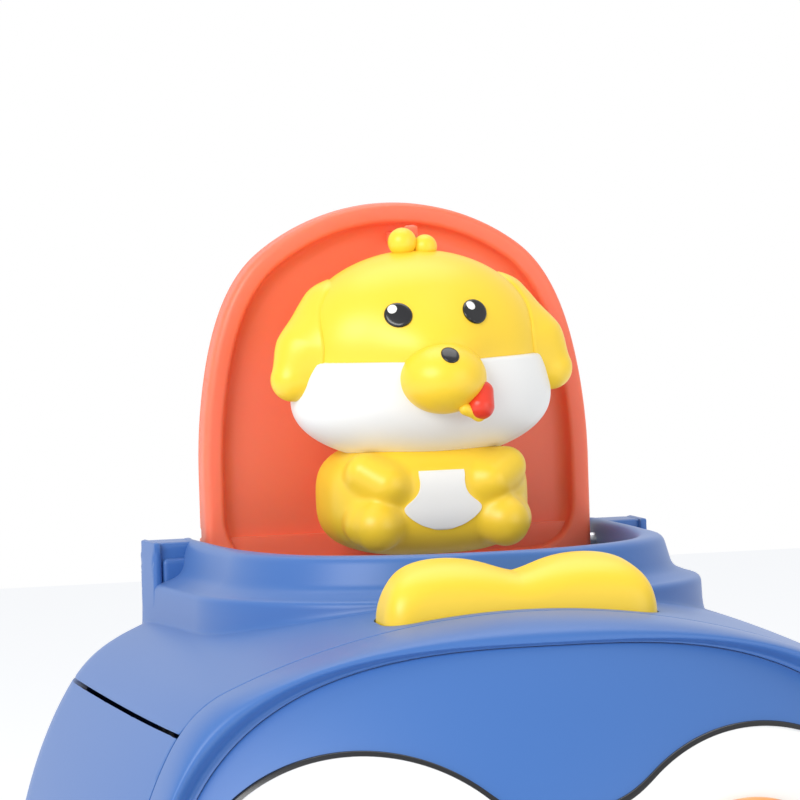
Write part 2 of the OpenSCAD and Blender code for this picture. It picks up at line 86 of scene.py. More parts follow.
# The face: a dome, seen in its frame. The eyes are measured from the ball's centre.
FACE_R = 90.0
FACE_Y = 22.5
BROW_X, BROW_Z, BROW_CHIN_Z = 60.8, 56.4, 56.0
OPENING_X, OPENING_Z, OPENING_CHIN_Z = 57.6, 55.0, 53.5
MASK_CENTRE = (0.0, 4.0)
EYE_X, EYE_Z, EYE_SHIFT = 25.5, 15.8, -1.2
RING_R, PUPIL_R, GLINT_R = 17.5, 9.5, 2.4
BEAK = (0, -65.5, MID_Z - 3.5)

# The hinge and the lid, standing open: the depth of its back, its rim and its floor.
HINGE_Y, HINGE_Z = 37.0, 121.0
HINGE_R = 3.0
LID_BACK_Y, LID_RIM_Y, LID_FLOOR_Y = 38.8, 35.0, 37.2
COVER_Y = 40.0
# Its outline over the hinge: straight sides up to a height, then arcs that lean in, and an arch.
LID_HALF_X, LID_SIDE_H, LID_SIDE_R = 28.4, 12, 80
LID_ARCH_H, LID_ARCH_R, LID_SHOULDER = 18.7, 31, 3.0

# The push button: the middle and half size of its slot, and its two humps.
BUTTON_Y, BUTTON_HALF_X, BUTTON_HALF_Y = -27.5, 19.8, 5.5
BUTTON_FOOT_Z = 109.4
HUMP_X, HUMP_Z, HUMP_R = 10.0, 115.5, 9.8

# Round covers on the sides and the back
COVER_R, COVER_Z = 28.4, 56.0


def srgb(r, g, b):
    """Linear colour from screen values of 0 to 255."""
    def linear(v):
        v /= 255
        return v / 12.92 if v <= 0.04045 else ((v + 0.055) / 1.055) ** 2.4
    return (linear(r), linear(g), linear(b), 1.0)


def plastic(name, color, roughness=0.33, bump=0.03, sheen=0.0, soft=0.0):
    """Moulded plastic with a very fine surface grain."""
    mat = bpy.data.materials.new(name)
    mat.use_nodes = True
    nodes, links = mat.node_tree.nodes, mat.node_tree.links
    shader = nodes["Principled BSDF"]
    shader.inputs["Base Color"].default_value = color
    shader.inputs["Roughness"].default_value = roughness
    shader.inputs["Sheen Weight"].default_value = sheen
    shader.inputs["Sheen Roughness"].default_value = 0.5
    shader.inputs["Subsurface Weight"].default_value = soft
    shader.inputs["Subsurface Radius"].default_value = (1.0, 0.25, 0.1)
    shader.inputs["Subsurface Scale"].default_value = 0.003
    coords = nodes.new("ShaderNodeTexCoord")
    noise = nodes.new("ShaderNodeTexNoise")
    noise.inputs["Scale"].default_value = 900.0
    noise.inputs["Detail"].default_value = 3.0
    links.new(coords.outputs["Object"], noise.inputs["Vector"])
    grain = nodes.new("ShaderNodeBump")
    grain.inputs["Strength"].default_value = bump
    grain.inputs["Distance"].default_value = 0.0002
    links.new(noise.outputs["Fac"], grain.inputs["Height"])
    links.new(grain.outputs["Normal"], shader.inputs["Normal"])
    return mat


def metal(name, color, roughness):
    """Bare steel: the plastic's nodes with the metallic input on."""
    mat = plastic(name, color, roughness, 0.05)
    mat.node_tree.nodes["Principled BSDF"].inputs["Metallic"].default_value = 1.0
    return mat


MATS = {
    "blue_plastic": plastic("blue_plastic", srgb(56, 104, 172), 0.42, sheen=0.12),
    "white_plastic": plastic("white_plastic", srgb(242, 241, 237), 0.4),
    "black_plastic": plastic("black_plastic", srgb(16, 17, 22), 0.18, 0.0),
    "orange_plastic": plastic("orange_plastic", srgb(244, 160, 84), 0.34),
    "yellow_plastic": plastic("yellow_plastic", srgb(252, 211, 54), 0.38),
    "coral_plastic": plastic("coral_plastic", srgb(252, 120, 88), 0.42, soft=0.4),
    "red_plastic": plastic("red_plastic", srgb(232, 58, 34), 0.34),
    "grey_plastic": plastic("grey_plastic", srgb(205, 207, 210), 0.45),
    "screw_steel": metal("screw_steel", srgb(190, 192, 196), 0.3),
    "spring_steel": metal("spring_steel", srgb(170, 172, 178), 0.28),
    "pad_rubber": plastic("pad_rubber", srgb(38, 39, 42), 0.75, 0.2),
}


def grid_faces(rows, cols, wrap_rows=False, wrap_cols=True):
    """Quads between the points of a grid, listed row by row."""
    i, j = np.meshgrid(np.arange(rows if wrap_rows else rows - 1),
                       np.arange(cols if wrap_cols else cols - 1), indexing="ij")
    i2, j2 = (i + 1) % rows, (j + 1) % cols
    quads = np.stack([i * cols + j, i * cols + j2, i2 * cols + j2, i2 * cols + j], -1)
    return quads.reshape(-1, 4).tolist()


def new_object(name, verts, faces, sharp=40):
    """A smooth-shaded mesh object from points in millimetres, normals outward."""
    mesh = bpy.data.meshes.new(name)
    mesh.from_pydata((np.asarray(verts, float) * MM).tolist(), [], faces)
    obj = bpy.data.objects.new(name, mesh)
    bpy.context.scene.collection.objects.link(obj)
    refine(obj, sharp)
    return obj


def refine(obj, sharp=40):
    """Welds doubled points, turns normals outward and sets smooth shading."""
    bm = bmesh.new()
    bm.from_mesh(obj.data)
    bmesh.ops.remove_doubles(bm, verts=bm.verts, dist=0.004 * MM)
    bmesh.ops.dissolve_degenerate(bm, edges=bm.edges, dist=0.002 * MM)
    bmesh.ops.recalc_face_normals(bm, faces=bm.faces)
    bm.to_mesh(obj.data)
    bm.free()
    obj.data.polygons.foreach_set("use_smooth", [True] * len(obj.data.polygons))
    obj.data.set_sharp_from_angle(angle=math.radians(sharp))
    obj.data.update()


def place(obj, slot, body, *nodes):
    """Gives the object the material that slot names, and lets it ride on a body in place of CAD nodes."""
    obj.data.materials.clear()
    obj.data.materials.append(MATS[slot])
    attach(obj, body)
    if nodes:
        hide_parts(*nodes)
    return obj


def cut(obj, cutter, sharp=40):
    """Takes the cutter's volume out of the object."""
    mod = obj.modifiers.new("cut", "BOOLEAN")
    mod.operation = "DIFFERENCE"
    mod.solver = "EXACT"
    mod.object = cutter
    apply_modifiers(obj)
    bpy.data.objects.remove(cutter)
    refine(obj, sharp)


def apply_modifiers(obj):
    """Turns the result of the object's modifiers into its mesh."""
    depsgraph = bpy.context.evaluated_depsgraph_get()
    mesh = bpy.data.meshes.new_from_object(obj.evaluated_get(depsgraph))
    obj.modifiers.clear()
    obj.data = mesh


def join(name, parts):
    """One object from several, for pieces that share a node."""
    verts, faces, start = [], [], 0
    for obj in parts:
        verts += [tuple(v.co / MM) for v in obj.data.vertices]
        faces += [[start + i for i in p.vertices] for p in obj.data.polygons]
        start = len(verts)
        bpy.data.objects.remove(obj)
    return new_object(name, verts, faces)


# Distance fields that the rounded forms are grown from. p is an array of points.
def ball_at(p, centre, r):
    """Sphere, or a circle where p holds two numbers a point."""
    return np.linalg.norm(p - np.array(centre, float), axis=-1) - r


def egg_at(p, centre, radii):
    """Ellipsoid with one radius for each axis."""
    q = p - np.array(centre, float)
    radii = np.array(radii, float)
    k0 = np.linalg.norm(q / radii, axis=-1)
    k1 = np.linalg.norm(q / radii ** 2, axis=-1)
    return k0 * (k0 - 1) / np.maximum(k1, 1e-9)


def rod_at(p, a, b, ra, rb):
    """Round-ended rod from a to b, its radius going from ra to rb."""
    a, b = np.array(a, float), np.array(b, float)
    t = np.clip(((p - a) @ (b - a)) / ((b - a) @ (b - a)), 0, 1)
    return np.linalg.norm(p - a - t[..., None] * (b - a), axis=-1) - (ra + (rb - ra) * t)


def block_at(p, lo, hi, r):
    """Box between two corners, its edges rounded by r."""
    lo, hi = np.array(lo, float), np.array(hi, float)
    q = np.abs(p - (lo + hi) / 2) - (hi - lo) / 2 + r
    return np.linalg.norm(np.maximum(q, 0), axis=-1) + np.minimum(q.max(-1), 0) - r


def blend(a, b, k):
    """Union of two fields with a fillet of about k."""
    h = np.maximum(k - np.abs(a - b), 0) / k
    return np.minimum(a, b) - h * h * k / 4


def meet(a, b, k):
    """Intersection of two fields with a rounded edge of about k."""
    return -blend(-a, -b, k)


def solve_out(field, start, direction, reach, steps=34):
    """Distance along each direction at which the field turns positive."""
    lo = np.zeros(len(direction))
    hi = np.full(len(direction), float(reach))
    for _ in range(steps):
        mid = (lo + hi) / 2
        inside = field(start + direction * mid[:, None]) < 0
        lo = np.where(inside, mid, lo)
        hi = np.where(inside, hi, mid)
    return (lo + hi) / 2


def grown(name, field, centre, reach, across=160, down=90, sharp=40):
    """A closed skin round a form that every ray from its centre leaves once."""
    centre = np.array(centre, float)
    az = np.linspace(0, 2 * math.pi, across, endpoint=False)
    el = np.linspace(0, math.pi, down + 2)[1:-1]
    e, a = np.meshgrid(el, az, indexing="ij")
    dirs = np.stack([np.sin(e) * np.cos(a), np.cos(e), np.sin(e) * np.sin(a)], -1).reshape(-1, 3)
    dirs = np.vstack([dirs, [[0, 1, 0], [0, -1, 0]]])
    points = centre + dirs * solve_out(field, centre, dirs, reach)[:, None]
    faces = grid_faces(down, across)
    last = (down - 1) * across
    top, bottom = down * across, down * across + 1
    for j in range(across):
        faces.append([top, j, (j + 1) % across])
        faces.append([bottom, last + (j + 1) % across, last + j])
    return new_object(name, points, faces, sharp)


def rounded_path(points, radii, count=6):
    """Rounds the corners of many polylines at once: points is rays x corners x 2."""
    out = []
    total = points.shape[1]
    for k in range(total):
        here = points[:, k]
        if radii[k] == 0 or k in (0, total - 1):
            out.append(here)
            continue
        ends = []
        for other in (points[:, k - 1], points[:, k + 1]):
            gap = np.linalg.norm(other - here, axis=-1, keepdims=True)
            share = np.minimum(radii[k] / np.maximum(gap, 1e-6), 0.49)
            ends.append(here + (other - here) * share)
        for t in np.linspace(0, 1, count):
            out.append((1 - t) ** 2 * ends[0] + 2 * t * (1 - t) * here + t * t * ends[1])
    return np.stack(out, 1)


# Ball form
def ball_field(p):
    """Below 0 inside the ball. z is measured from the ball's centre."""
    x, y, z = p[..., 0], p[..., 1], p[..., 2]
    roof = np.hypot(x, z + ROOF_R - ROOF_TOP) - ROOF_R + ROOF_FALL * (y - ROOF_Y) ** 2
    barrel = np.hypot(x, z) - BARREL_R
    sides = np.abs(x) - (SIDE_X - y ** 2 / (2 * SIDE_ARCH_Y) - z ** 2 / (2 * SIDE_ARCH_Z))
    back = y - (BACK_Y - x ** 2 / (2 * BACK_ARCH_X) - z ** 2 / (2 * BACK_ARCH_Z))
    under = np.hypot(np.hypot(x, y), z - UNDER_R + UNDER_Z) - UNDER_R
    top = meet(meet(roof, barrel, ROOF_EDGE), sides, SIDE_EDGE)
    return meet(meet(top, back, BACK_EDGE), under, UNDER_EDGE)


def reach_out(x, y, z, direction):
    """How far the ball's surface lies from points inside it along one direction."""
    start = np.stack(np.broadcast_arrays(x, y, z), -1).astype(float)
    dirs = np.broadcast_to(np.array(direction, float), start.shape)
    return solve_out(ball_field, start, dirs, BALL_REACH)


def dome_z(x, y):
    """Height of the ball's top over the given points."""
    return MID_Z + reach_out(x, y, 0.0, (0, 0, 1))


def seam_height(y):
    """Height of the seam, which falls towards the front."""
    return MID_Z + SEAM_Z + SEAM_SLOPE * y


def arc_run(centre, r, turns):
    """Points on an arc and the directions outward from them."""
    dirs = np.stack([np.cos(turns), np.sin(turns)], -1)
    return np.array(centre) + r * dirs, dirs


def straight_run(a, b, outward, count):
    """Points between two ends, without the ends, all with one outward direction."""
    a, b = np.array(a), np.array(b)
    points = a + (b - a) * np.linspace(0, 1, count)[1:-1, None]
    return points, np.broadcast_to(np.array(outward, float), points.shape)


def well_edge():
    """Points and outward directions round the well's arch-shaped edge."""
    arch = np.linspace(-math.pi, 0, 150)
    corner = np.linspace(0, math.pi / 2, 30)
    tip_y, side_y = ARCH_Y - WELL_R, WELL_BACK - WELL_CORNER
    back_x = WELL_X - WELL_CORNER
    runs = [
        arc_run((-ARCH_X, ARCH_Y), WELL_R, arch[:75]),
        straight_run((-ARCH_X, tip_y), (ARCH_X, tip_y), (0, -1), 10),
        arc_run((ARCH_X, ARCH_Y), WELL_R, arch[75:]),
        straight_run((WELL_X, ARCH_Y), (WELL_X, side_y), (1, 0), 26),
        arc_run((back_x, side_y), WELL_CORNER, corner),
        straight_run((back_x, WELL_BACK), (-back_x, WELL_BACK), (0, 1), 40),
        arc_run((-back_x, side_y), WELL_CORNER, corner + math.pi / 2),
        straight_run((-WELL_X, side_y), (-WELL_X, ARCH_Y), (-1, 0), 26),
    ]
    return tuple(np.concatenate(column) for column in zip(*runs))


def top_reach(points, dirs):
    """How far each ray runs over the dome before it meets the seam or the front edge."""
    def past(p):
        low = dome_z(p[:, 0], p[:, 1]) < seam_height(p[:, 1]) + SEAM_GAP / 2
        return np.where(low | (p[:, 1] < FRONT_Y), 1.0, -1.0)
    return solve_out(past, points, dirs, 70)


def top_section(points, dirs, reach):
    """Corners of the top shell's cross-section on each ray: distance, height and rounding."""
    sx, sy = np.abs(dirs[:, 0]), np.maximum(dirs[:, 1], 0)
    rear = sy > 0.7072
    square = np.minimum(COLLAR_W / np.maximum(sx, 1e-6), (REAR_W + WELL_CORNER) / np.maximum(sy, 1e-6))
    collar = np.where(points[:, 1] > ARCH_Y + 0.01, square, COLLAR_W)
    collar = np.where(rear & (sy > 0.999), REAR_W, collar)
    lip_top = np.where(rear, LIP_Z - REAR_DROP, LIP_Z)
    ledge = np.where(rear, lip_top, LEDGE_Z)
    lip_w = np.where(rear, collar * 0.5, LIP_W)
    lip_flat = np.where(rear, lip_w, LIP_FLAT)

    def height_at(d):
        p = points + dirs * d[:, None]
        return dome_z(p[:, 0], p[:, 1])

    def past_lid(p):
        flat = np.stack([p[:, 0], HINGE_Y - p[:, 1]], -1)
        return np.where(lid_edge(flat, -0.9, -3.5, 0.8) < 0, 1.0, -1.0)

    inner = -solve_out(past_lid, points, -dirs, 6)
    inner = np.where(rear | (points[:, 1] > 30), 0.0, inner)
    foot = collar + 0.15
    base = np.maximum(height_at(collar), 100)
    low_ledge = np.maximum(ledge - np.where(rear, 0.5, 1.0), base + 0.05)
    closing = (np.full(len(points), TUCK), np.full(len(points), BOX_TOP), 0)
    corners = [
        closing, (inner, closing[1], 0), (inner, lip_top, 1.3), (lip_flat, lip_top, 1.3),
        (lip_w, ledge + np.where(rear, 0.0, 0.45), 1.1),
        (collar - np.where(rear, 0.3, 1.6), low_ledge + 0.4, 1.0),
        (collar, low_ledge, 0.9), (foot, base, 3.0),
    ]
    for share in np.linspace(0.07, 1, 44) ** 1.15:
        d = foot + (reach - foot) * share
        corners.append((d, height_at(d), 0))
    front = (points + dirs * reach[:, None])[:, 1] < FRONT_Y + 0.02
    end, height = corners[-1][:2]
    corners[-1] = (end, height, 0.45)
    corners.append((end - np.where(front, 0.0, SKIRT), height - np.where(front, SKIRT, 0.05), 0))
    return corners + [closing]


def top_shell():
    """Domed cap with the lip, the ledge and the collar round the well, and the button's slot."""
    points, dirs = well_edge()
    corners = top_section(points, dirs, top_reach(points, dirs))
    path = np.stack([np.stack([c[0], c[1]], -1) for c in corners], 1)
    path = rounded_path(path, [c[2] for c in corners])
    xy = points[:, None, :] + dirs[:, None, :] * path[..., :1]
    verts = np.concatenate([xy, path[..., 1:]], -1)
    rows, cols = verts.shape[:2]
    shell = new_object("top_shell", verts.reshape(-1, 3), grid_faces(rows, cols, True, False), 50)
    cut(shell, slot_prism(0.35), 50)
    place(shell, "blue_plastic", "ball", "top_shell")


def hinge_posts():
    """The two stepped posts that carry the hinge pins, each of three rounded blocks."""
    blocks = [((35.3, 34.3, 108), (36.6, 42.2, LIP_Z), 0.55),
              ((29.5, 35.2, 108), (35.9, 42.2, LIP_Z - 0.15), 0.5),
              ((29.5, 34.5, 108), (35.2, 42.0, LIP_Z - 2.4), 0.7)]
    posts = []
    for s in (-1, 1):
        for lo, hi, r in blocks:
            left, right = sorted((s * lo[0], s * hi[0]))

            def block(p, lo=(left, lo[1], lo[2]), hi=(right, hi[1], hi[2]), r=r):
                return block_at(p, lo, hi, r)
            middle = ((left + right) / 2, (lo[1] + hi[1]) / 2, 117)
            posts.append(grown("post", block, middle, 12, 96, 80))
    place(join("hinge_posts", posts), "blue_plastic", "ball")


def prism(name, outline, z0, z1):
    """A straight column over an outline in X and Y."""
    count = len(outline)
    verts = [(x, y, z) for z in (z0, z1) for x, y in outline]
    faces = [[i, (i + 1) % count, count + (i + 1) % count, count + i] for i in range(count)]
    faces += [list(range(count))[::-1], list(range(count, 2 * count))]
    return new_object(name, verts, faces)


def slot_prism(grow):
    """The space of the button's slot: its outline widened by grow."""
    half_x, half_y, r = BUTTON_HALF_X + grow, BUTTON_HALF_Y + grow, 4 + grow
    outline = []
    for quarter, (sx, sy) in enumerate([(1, 1), (-1, 1), (-1, -1), (1, -1)]):
        for t in np.linspace(0, math.pi / 2, 10) + quarter * math.pi / 2:
            outline.append((sx * (half_x - r) + r * math.cos(t),
                            BUTTON_Y + sy * (half_y - r) + r * math.sin(t)))
    return prism("slot", outline, 96, 130)


def lower_shell():
    """The whole ball, cut flat at the seam, the front and the underside, and given its wall."""
    def outer(p):
        return ball_field(p - np.array([0, 0, MID_Z]))

    obj = grown("lower_shell", outer, (0, 0, MID_Z), BALL_REACH, 420, 210)
    bm = bmesh.new()
    bm.from_mesh(obj.data)
    seam = (0, -SEAM_SLOPE, 1)
    for point, normal in [((0, 0, (MID_Z + SEAM_Z - SEAM_GAP / 2) * MM), seam),
                          ((0, FRONT_Y * MM, 0), (0, -1, 0)), ((0, 0, REST_Z * MM), (0, 0, -1))]:
        geom = bm.verts[:] + bm.edges[:] + bm.faces[:]
        bmesh.ops.bisect_plane(bm, geom=geom, dist=1e-6, plane_co=point, plane_no=normal,
                               clear_outer=True)
    bmesh.ops.remove_doubles(bm, verts=bm.verts, dist=0.12 * MM)
    bm.to_mesh(obj.data)
    bm.free()
    wall = obj.modifiers.new("wall", "SOLIDIFY")
    wall.thickness = WALL * MM
    wall.offset = -1
    edge = obj.modifiers.new("edge", "BEVEL")
    edge.width = 0.3 * MM
    edge.segments = 2
    edge.limit_method = "ANGLE"
    edge.angle_limit = math.radians(50)
    apply_modifiers(obj)
    refine(obj, 40)
    place(obj, "blue_plastic", "ball", "lower_shell")


def section_radius(theta, y):
    """Radius of the ball's cross-section at depth y, towards each angle round the Y axis."""
    start = np.stack([np.zeros_like(theta), np.full_like(theta, y), np.zeros_like(theta)], -1)
    dirs = np.stack([np.cos(theta), np.zeros_like(theta), np.sin(theta)], -1)
    return solve_out(ball_field, start, dirs, BALL_REACH)


def super_radius(theta, a, c, n):
    """Radius of a rounded square with half sizes a and c. A higher n makes its corners tighter."""
    return (np.abs(np.cos(theta) / a) ** n + np.abs(np.sin(theta) / c) ** n) ** (-1 / n)


def opening_radius(theta):
    """Edge of the face panel: flatter above than at the sides."""
    low = np.sin(theta) < 0
    return super_radius(theta, OPENING_X, np.where(low, OPENING_CHIN_Z, OPENING_Z), 2.8)


def face_depth(radius, out=0.0):
    """Y of the face dome at a distance from its middle, raised by out."""
    return FACE_Y - np.sqrt((FACE_R + out) ** 2 - np.minimum(radius, 80) ** 2)


def front_bezel():
    """Round frame: it carries on from the ball, rolls over a brow and runs down to the panel."""
    count = 360
    theta = np.linspace(0, 2 * math.pi, count, endpoint=False)
    back = section_radius(theta, BEZEL_Y)
    low = np.sin(theta) < 0
    brow = super_radius(theta, BROW_X, np.where(low, BROW_CHIN_Z, BROW_Z), 3.1) - 0.8
    inner = opening_radius(theta) + 0.1
    edge = face_depth(inner)
    slope = inner / np.sqrt(FACE_R ** 2 - inner ** 2)
    apex = 0.4 * np.minimum(brow ** 2 / 400 - 56.9, edge - 0.2) + 0.6 * (edge - 0.5)
    rows = []
    for t in np.linspace(0, math.pi / 2, 22)[:-1]:
        rows.append((brow + (back - brow) * math.cos(t) ** 0.85,
                     BEZEL_Y + (apex - BEZEL_Y) * math.sin(t) ** 0.85))
    width = brow - inner
    valley = [(brow, apex), (brow - 0.45 * width, apex),
              (inner + 0.4 * width, edge + slope * 0.4 * width), (inner, edge)]
    for t in np.linspace(0, 1, 16):
        shares = ((1 - t) ** 3, 3 * t * (1 - t) ** 2, 3 * t * t * (1 - t), t ** 3)
        rows.append(tuple(sum(k * knot[i] for k, knot in zip(shares, valley)) for i in (0, 1)))
    rows += [(inner - 0.08, edge + 0.2), (inner - 0.08, edge + 3.2), (inner + 2.5, edge + 3.6),
             (back - WALL - 0.5, -38.5), (back - WALL, BEZEL_Y + 0.05), (back - 0.25, BEZEL_Y + 0.1)]
    verts = []
    for r, y in rows:
        z = np.maximum(MID_Z + r * np.sin(theta), REST_Z)
        verts.append(np.stack([r * np.cos(theta), np.broadcast_to(y, theta.shape), z], -1))
    obj = new_object("front_bezel", np.concatenate(verts), grid_faces(len(rows), count, True, True), 35)
    place(obj, "blue_plastic", "ball", "front_bezel")


def face_plate(name, outline, centre, out, thick, edge, rings=34):
    """A plate that lies on the face dome: outline is its edge round centre, in X and Z."""
    centre = np.array(centre, float)
    outline = np.asarray(outline, float)
    away = outline - centre
    length = np.linalg.norm(away, axis=-1, keepdims=True)
    rows = []
    for share in np.linspace(0.03, 1, rings):
        rows.append((centre + away * (length - edge) / length * share, out))
    for t in np.linspace(0, math.pi / 2, 6)[1:]:
        rim = centre + away * (length - edge + edge * math.sin(t)) / length
        rows.append((rim, out - edge * (1 - math.cos(t))))
    rows.append((outline, out - thick))
    verts = []
    for flat, lift in rows:
        r = np.linalg.norm(flat, axis=-1)
        verts.append(np.stack([flat[:, 0], face_depth(r, lift), MID_Z + flat[:, 1]], -1))
    count = len(outline)
    faces = grid_faces(len(rows), count)
    verts = np.concatenate(verts)
    for ring, lift, flip in ((0, out, True), (len(rows) - 1, out - thick, False)):
        middle = [[centre[0], face_depth(np.hypot(*centre), lift), MID_Z + centre[1]]]
        verts = np.concatenate([verts, middle])
        tip = len(verts) - 1
        for j in range(count):
            a, b = ring * count + j, ring * count + (j + 1) % count
            faces.append([tip, b, a] if flip else [tip, a, b])
    return new_object(name, verts, faces, 35)


def mask_outline_points(grow, count=420):
    """Outer edge of the white mask: two eye lobes, a soft valley between them and a round chin."""
    def field(p):
        lobes = np.minimum(ball_at(p, (-29.8, 16.6), 24.7), ball_at(p, (27.0, 16.8), 25.8))
        chin = blend(ball_at(p, (0, -8), 33), ball_at(p, (0.2, 14.5), 17.6), 4)
        cheeks = np.minimum(ball_at(p, (-21, -7), 20.5), ball_at(p, (21, -7), 20.5))
        fillet = np.interp(p[:, 1], (-2, 12), (24, 7))
        return blend(lobes, blend(chin, cheeks, 10), fillet) - grow
    theta = np.linspace(0, 2 * math.pi, count, endpoint=False)
    dirs = np.stack([np.cos(theta), np.sin(theta)], -1)
    centre = np.array(MASK_CENTRE)
    return centre + dirs * solve_out(field, centre, dirs, 70)[:, None]


def circle_points(centre, r, count=120):
    """Points round a circle in X and Z."""
    theta = np.linspace(0, 2 * math.pi, count, endpoint=False)
    return np.stack([centre[0] + r * np.cos(theta), centre[1] + r * np.sin(theta)], -1)


def face():
    """The panel, the mask with a black ring of painted gap shade round it, the eyes and the beak."""
    theta = np.linspace(0, 2 * math.pi, 360, endpoint=False)
    r = opening_radius(theta) - 0.02
    border = np.stack([r * np.cos(theta), r * np.sin(theta)], -1)
    panel = face_plate("face_panel", border, (0, 0), out=0.0, thick=2.4, edge=0.2, rings=60)
    place(panel, "blue_plastic", "ball", "face_panel")
    # Black ring a little wider than the mask: painted shade of the gap between the mask and the panel.
    mask_gap_shade = face_plate("mask_outline", mask_outline_points(0.75), MASK_CENTRE,
                      out=0.35, thick=0.9, edge=0.25, rings=50)
    place(mask_gap_shade, "black_plastic", "ball", "mask_outline")
    mask = face_plate("face_mask", mask_outline_points(0.0), MASK_CENTRE,
                      out=1.0, thick=1.5, edge=0.6, rings=50)
    place(mask, "white_plastic", "ball", "face_mask")
    for side, name in ((1, "left"), (-1, "right")):
        centre = (side * EYE_X + EYE_SHIFT, EYE_Z)
        ring = face_plate("eye_ring_" + name, circle_points(centre, RING_R), centre,
                          out=2.4, thick=2.4, edge=0.8)
        place(ring, "orange_plastic", "ball", "eye_ring_" + name)
        pupil = face_plate("pupil_" + name, circle_points(centre, PUPIL_R), centre,
                           out=3.3, thick=1.6, edge=0.7)
        place(pupil, "black_plastic", "ball", "pupil_" + name)
        spot = (centre[0] - 3.2, centre[1] + 3.6)
        glint = face_plate("eye_glint_" + name, circle_points(spot, GLINT_R, 60), spot,
                           out=3.45, thick=0.8, edge=0.1, rings=10)
        place(glint, "white_plastic", "ball")

    def beak_field(p):
        return meet(egg_at(p, BEAK, (9.5, 6.2, 6.4)), p[:, 2] - (BEAK[2] + 5.9), 2.5)

    beak = grown("beak", beak_field, (0, BEAK[1] - 0.5, BEAK[2]), 14, 120, 70)
    place(beak, "orange_plastic", "ball", "beak")


def extrude_x(name, profile, x0, x1, edge):
    """A bar along X with slightly rounded ends. profile is points in Y and Z."""
    profile = np.asarray(profile, float)
    middle = profile.mean(0)
    size = np.abs(profile - middle).max()
    rows = []
    for end, inward in ((x0, 1), (x1, -1)):
        rim = []
        for t in np.linspace(0, math.pi / 2, 4):
            shrink = 1 - edge * (1 - math.sin(t)) / size
            rim.append((end + inward * edge * (1 - math.cos(t)), shrink))
        rows += rim if inward == 1 else rim[::-1]
    verts, count = [], len(profile)
    for x, shrink in rows:
        flat = middle + (profile - middle) * shrink
        verts += [(x, y, z) for y, z in flat]
    faces = grid_faces(len(rows), count)
    faces += [list(range(count)), list(range((len(rows) - 1) * count, len(rows) * count))[::-1]]
    return new_object(name, verts, faces)


def lid_edge(p, inset, low, corner):
    """Below 0 inside the lid's outline. p holds X and the height over the hinge."""
    x, h = np.abs(p[:, 0]), p[:, 1]
    leaning = np.hypot(x + (LID_SIDE_R - LID_HALF_X), h - LID_SIDE_H) - LID_SIDE_R
    side = np.where(h > LID_SIDE_H, leaning, x - LID_HALF_X)
    arch = np.where(h > LID_ARCH_H, np.hypot(x, h - LID_ARCH_H) - LID_ARCH_R, x - LID_ARCH_R)
    return meet(meet(side, arch, LID_SHOULDER) + inset, low - h, corner)


def lid_loop(inset, low, corner, count=300):
    """Points round the lid's outline and the directions that point inward from them."""
    centre = np.array([0.0, 20.0])
    turn = np.linspace(0, 2 * math.pi, count, endpoint=False)
    dirs = np.stack([np.cos(turn), np.sin(turn)], -1)

    def field(p):
        return lid_edge(p, inset, low, corner)
    points = centre + dirs * solve_out(field, centre, dirs, 60)[:, None]
    step = 0.01
    slope = np.stack([field(points + [step, 0]) - field(points - [step, 0]),
                      field(points + [0, step]) - field(points - [0, step])], -1)
    return points, -slope / np.linalg.norm(slope, axis=-1, keepdims=True)


def swept_plate(rows):
    """A plate from loops of X and height over the hinge, each at its own depth."""
    count = len(rows[0][0])
    verts = [np.stack([p[:, 0], np.broadcast_to(y, count), HINGE_Z + p[:, 1]], -1) for p, y in rows]
    verts = np.concatenate(verts)
    faces = grid_faces(len(rows), count)
    for ring in (0, len(rows) - 1):
        middle = rows[ring][0].mean(0)
        verts = np.concatenate([verts, [[middle[0], rows[ring][1], HINGE_Z + middle[1]]]])
        tip = len(verts) - 1
        faces += [[tip, ring * count + j, ring * count + (j + 1) % count] for j in range(count)]
    return verts, faces


def lid_tray():
    """The inner half of the lid: a rounded rim, a hollow floor and a round foot at the hinge."""
    outer, out_in = lid_loop(inset=0.0, low=-3.0, corner=2.0)
    inner, in_in = lid_loop(inset=2.8, low=-0.6, corner=7.0)
    rim_r, lip_r, hollow_r = 1.0, 0.75, 2.1
    rows = [(outer + out_in * 1.2, LID_BACK_Y), (outer + out_in * 0.3, LID_BACK_Y),
            (outer, LID_BACK_Y - 0.3), (outer, LID_RIM_Y + rim_r)]
    for t in np.linspace(0, math.pi / 2, 7)[1:]:
        rows.append((outer + out_in * rim_r * (1 - math.cos(t)), LID_RIM_Y + rim_r * (1 - math.sin(t))))
    for t in np.linspace(0, math.pi / 2, 6):
        rows.append((inner - in_in * lip_r * (1 - math.sin(t)), LID_RIM_Y + lip_r * (1 - math.cos(t))))
    for t in np.linspace(0.25, math.pi / 2, 9):
        rows.append((inner + in_in * (0.1 + hollow_r * (1 - math.cos(t))),
                     LID_FLOOR_Y - hollow_r * 0.66 * (1 - math.sin(t))))
    rows.append((inner + in_in * 3.4, LID_FLOOR_Y))
    verts, faces = swept_plate(rows)
    h = verts[:, 2] - HINGE_Z
    half = np.sqrt(np.maximum(HINGE_R ** 2 - h ** 2, 0.0))
    low = h < 0
    verts[low, 1] = np.clip(verts[low, 1], HINGE_Y - half[low], HINGE_Y + half[low])
    return new_object("lid_tray", verts, faces, 45)


def lid_cover():
    """The outer half of the lid, with rounded edges."""
    edge, inward = lid_loop(inset=0.1, low=3.4, corner=1.2)
    round_r = 0.7
    rows = [(edge + inward * 0.3, LID_BACK_Y + 0.1), (edge, LID_BACK_Y + 0.25)]
    for t in np.linspace(0, math.pi / 2, 6):
        rows.append((edge + inward * round_r * (1 - math.cos(t)),
                     COVER_Y - round_r * (1 - math.sin(t))))
    rows.append((lid_loop(inset=3.1, low=6.4, corner=1.2)[0], COVER_Y))
    verts, faces = swept_plate(rows)
    return new_object("lid_cover", verts, faces, 45)


